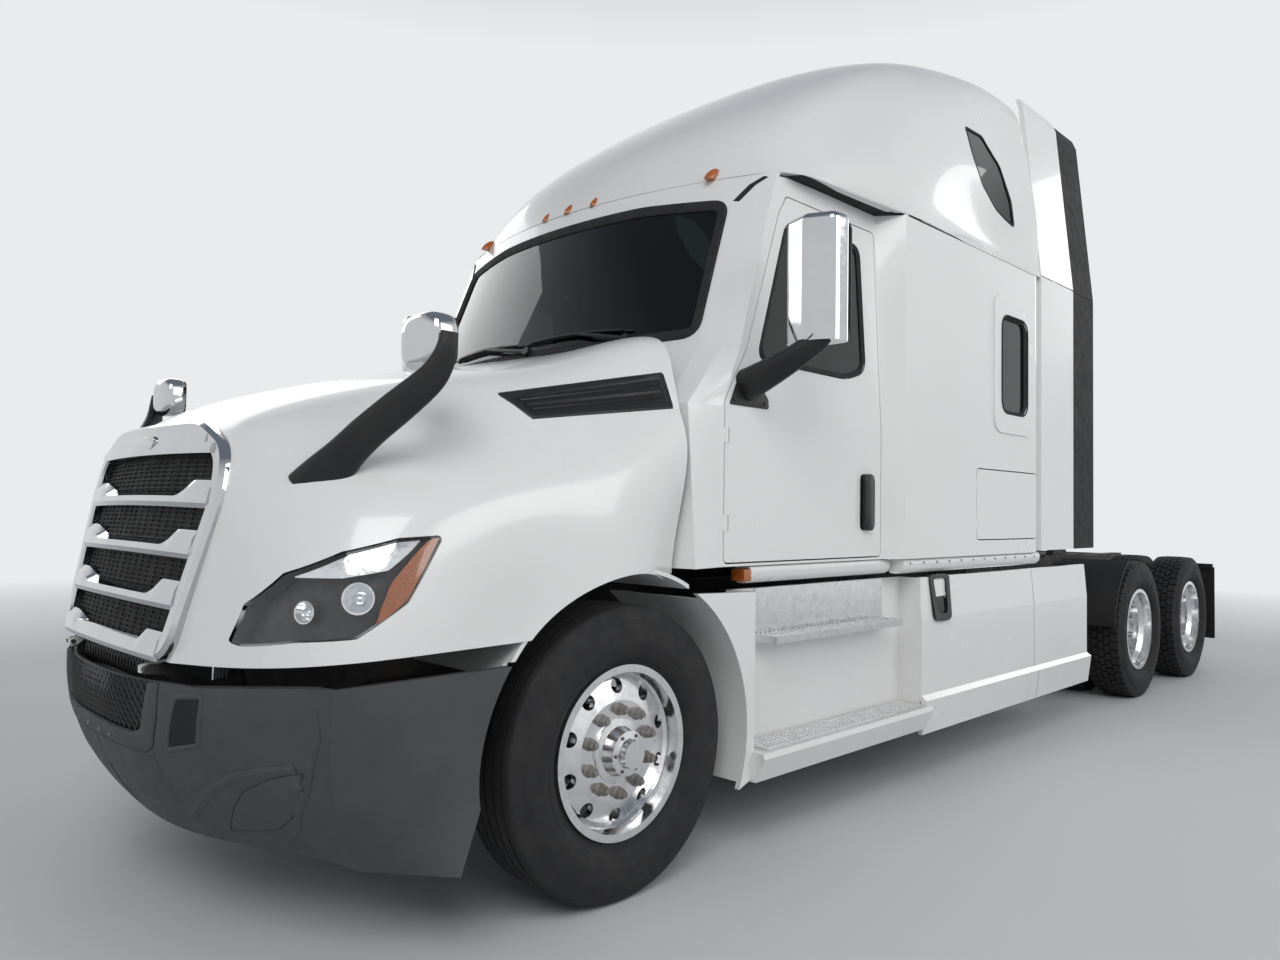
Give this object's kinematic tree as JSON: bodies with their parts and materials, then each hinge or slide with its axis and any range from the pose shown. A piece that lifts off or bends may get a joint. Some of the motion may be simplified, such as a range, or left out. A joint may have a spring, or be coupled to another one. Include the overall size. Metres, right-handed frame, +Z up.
{
  "type": "semi truck tractor unit",
  "caption": "Long-hood semi truck tractor unit with a raised-roof sleeper, twin drive axles, side fairings and a tilting fifth wheel.",
  "frame": {"origin": "centre of the outer box's footprint, at ground level", "axes": "+X towards the front bumper, +Y to the vehicle's left, +Z up"},
  "size_m": [8.7326, 3.0778, 4.0358],
  "materials": {
    "paint": "gloss",
    "plastic": "satin",
    "bumper_plastic": "matt",
    "glass": "gloss",
    "chrome": "mirror",
    "aluminium": "polished",
    "rubber": "matt",
    "steel": "satin",
    "cast": "satin",
    "lamp": "gloss",
    "amber": "gloss",
    "fabric": "matt"
  },
  "bodies": {
    "chassis": {"frame_rails": "steel", "front_axle": "steel", "front_springs": "steel", "drive_axles": "steel", "rear_suspension": "steel", "driveline": "steel", "engine": "cast", "radiator": "aluminium", "fifth_wheel_base": "steel", "fuel_tanks": "aluminium", "step_boxes": "steel", "cab_shell": "paint", "roof_cap": "paint", "cab_glass": "glass", "bumper": "bumper_plastic", "bumper_grille": "plastic", "fairings": "paint", "tread_plates": "aluminium", "deck_plate": "aluminium", "side_extenders": "paint", "extender_strips": "rubber", "mudguards": "plastic", "lamps": "amber", "dashboard": "plastic", "seats": "fabric"},
    "hood": {"hood": "paint", "headlamps": "lamp", "hood_vents": "plastic", "grille": "chrome", "grille_mesh": "plastic", "hood_mirror_arms": "plastic", "hood_mirror_shells": "chrome"},
    "left_door": {"left_door": "paint", "left_door_glass": "glass", "left_mirror_arm": "plastic", "left_mirror_shell": "chrome"},
    "right_door": {"right_door": "paint", "right_door_glass": "glass", "right_mirror_arm": "plastic", "right_mirror_shell": "chrome"},
    "left_luggage_door": {"left_luggage_door": "paint"},
    "right_luggage_door": {"right_luggage_door": "paint"},
    "left_knuckle": {"left_knuckle": "cast"},
    "right_knuckle": {"right_knuckle": "cast"},
    "tie_rod": {"tie_rod": "cast"},
    "front_left_wheel": {"front_left_tyre": "rubber", "front_left_rim": "aluminium"},
    "front_right_wheel": {"front_right_tyre": "rubber", "front_right_rim": "aluminium"},
    "forward_left_wheels": {"forward_left_tyres": "rubber", "forward_left_rims": "aluminium"},
    "forward_right_wheels": {"forward_right_tyres": "rubber", "forward_right_rims": "aluminium"},
    "rearward_left_wheels": {"rearward_left_tyres": "rubber", "rearward_left_rims": "aluminium"},
    "rearward_right_wheels": {"rearward_right_tyres": "rubber", "rearward_right_rims": "aluminium"},
    "fifth_wheel": {"fifth_wheel": "steel"},
    "steering_wheel": {"steering_wheel": "plastic"}
  },
  "joints": [
    {"name": "steer", "type": "hinge", "parent": "chassis", "child": "left_knuckle", "pos_m": [3.047, 0.87, 0.505], "axis": [0, 0, 1], "range_deg": [-42, 42]},
    {"name": "right_steer", "type": "hinge", "parent": "chassis", "child": "right_knuckle", "pos_m": [3.047, -0.87, 0.505], "axis": [0, 0, 1], "range_deg": [-42, 42]},
    {"name": "tie_rod_turn", "type": "hinge", "parent": "left_knuckle", "child": "tie_rod", "pos_m": [2.787, 0.87, 0.41], "axis": [0, 0, 1], "range_deg": [-42, 42]},
    {"name": "front_left_roll", "type": "hinge", "parent": "left_knuckle", "child": "front_left_wheel", "pos_m": [3.047, 1.045, 0.505], "axis": [0, 1, 0], "continuous": true},
    {"name": "front_right_roll", "type": "hinge", "parent": "right_knuckle", "child": "front_right_wheel", "pos_m": [3.047, -1.045, 0.505], "axis": [0, 1, 0], "continuous": true},
    {"name": "forward_left_roll", "type": "hinge", "parent": "chassis", "child": "forward_left_wheels", "pos_m": [-2.309, 0.909, 0.505], "axis": [0, 1, 0], "continuous": true},
    {"name": "forward_right_roll", "type": "hinge", "parent": "chassis", "child": "forward_right_wheels", "pos_m": [-2.309, -0.909, 0.505], "axis": [0, 1, 0], "continuous": true},
    {"name": "rearward_left_roll", "type": "hinge", "parent": "chassis", "child": "rearward_left_wheels", "pos_m": [-3.627, 0.909, 0.505], "axis": [0, 1, 0], "continuous": true},
    {"name": "rearward_right_roll", "type": "hinge", "parent": "chassis", "child": "rearward_right_wheels", "pos_m": [-3.627, -0.909, 0.505], "axis": [0, 1, 0], "continuous": true},
    {"name": "hood_tilt", "type": "hinge", "parent": "chassis", "child": "hood", "pos_m": [4.337, 0, 0.832], "axis": [0, 1, 0], "range_deg": [0, 72]},
    {"name": "left_door_open", "type": "hinge", "parent": "chassis", "child": "left_door", "pos_m": [2.509, 1.146, 1.6], "axis": [0, 0, -1], "range_deg": [0, 70]},
    {"name": "right_door_open", "type": "hinge", "parent": "chassis", "child": "right_door", "pos_m": [2.509, -1.146, 1.6], "axis": [0, 0, 1], "range_deg": [0, 70]},
    {"name": "left_luggage_open", "type": "hinge", "parent": "chassis", "child": "left_luggage_door", "pos_m": [0.479, 1.216, 1.4], "axis": [0, 0, -1], "range_deg": [0, 90]},
    {"name": "right_luggage_open", "type": "hinge", "parent": "chassis", "child": "right_luggage_door", "pos_m": [0.479, -1.216, 1.4], "axis": [0, 0, 1], "range_deg": [0, 90]},
    {"name": "fifth_wheel_tilt", "type": "hinge", "parent": "chassis", "child": "fifth_wheel", "pos_m": [-2.908, 0, 1.12], "axis": [0, 1, 0], "range_deg": [-10, 13]},
    {"name": "steering_wheel_turn", "type": "hinge", "parent": "chassis", "child": "steering_wheel", "pos_m": [2.154, 0.5, 1.744], "axis": [-0.8087, 0, 0.5882], "range_deg": [-760, 760]}
  ],
  "couplings": [
    {"joint": "right_steer", "follows": "steer", "ratio": 1},
    {"joint": "tie_rod_turn", "follows": "steer", "ratio": -1},
    {"joint": "steering_wheel_turn", "follows": "steer", "ratio": 18}
  ]
}
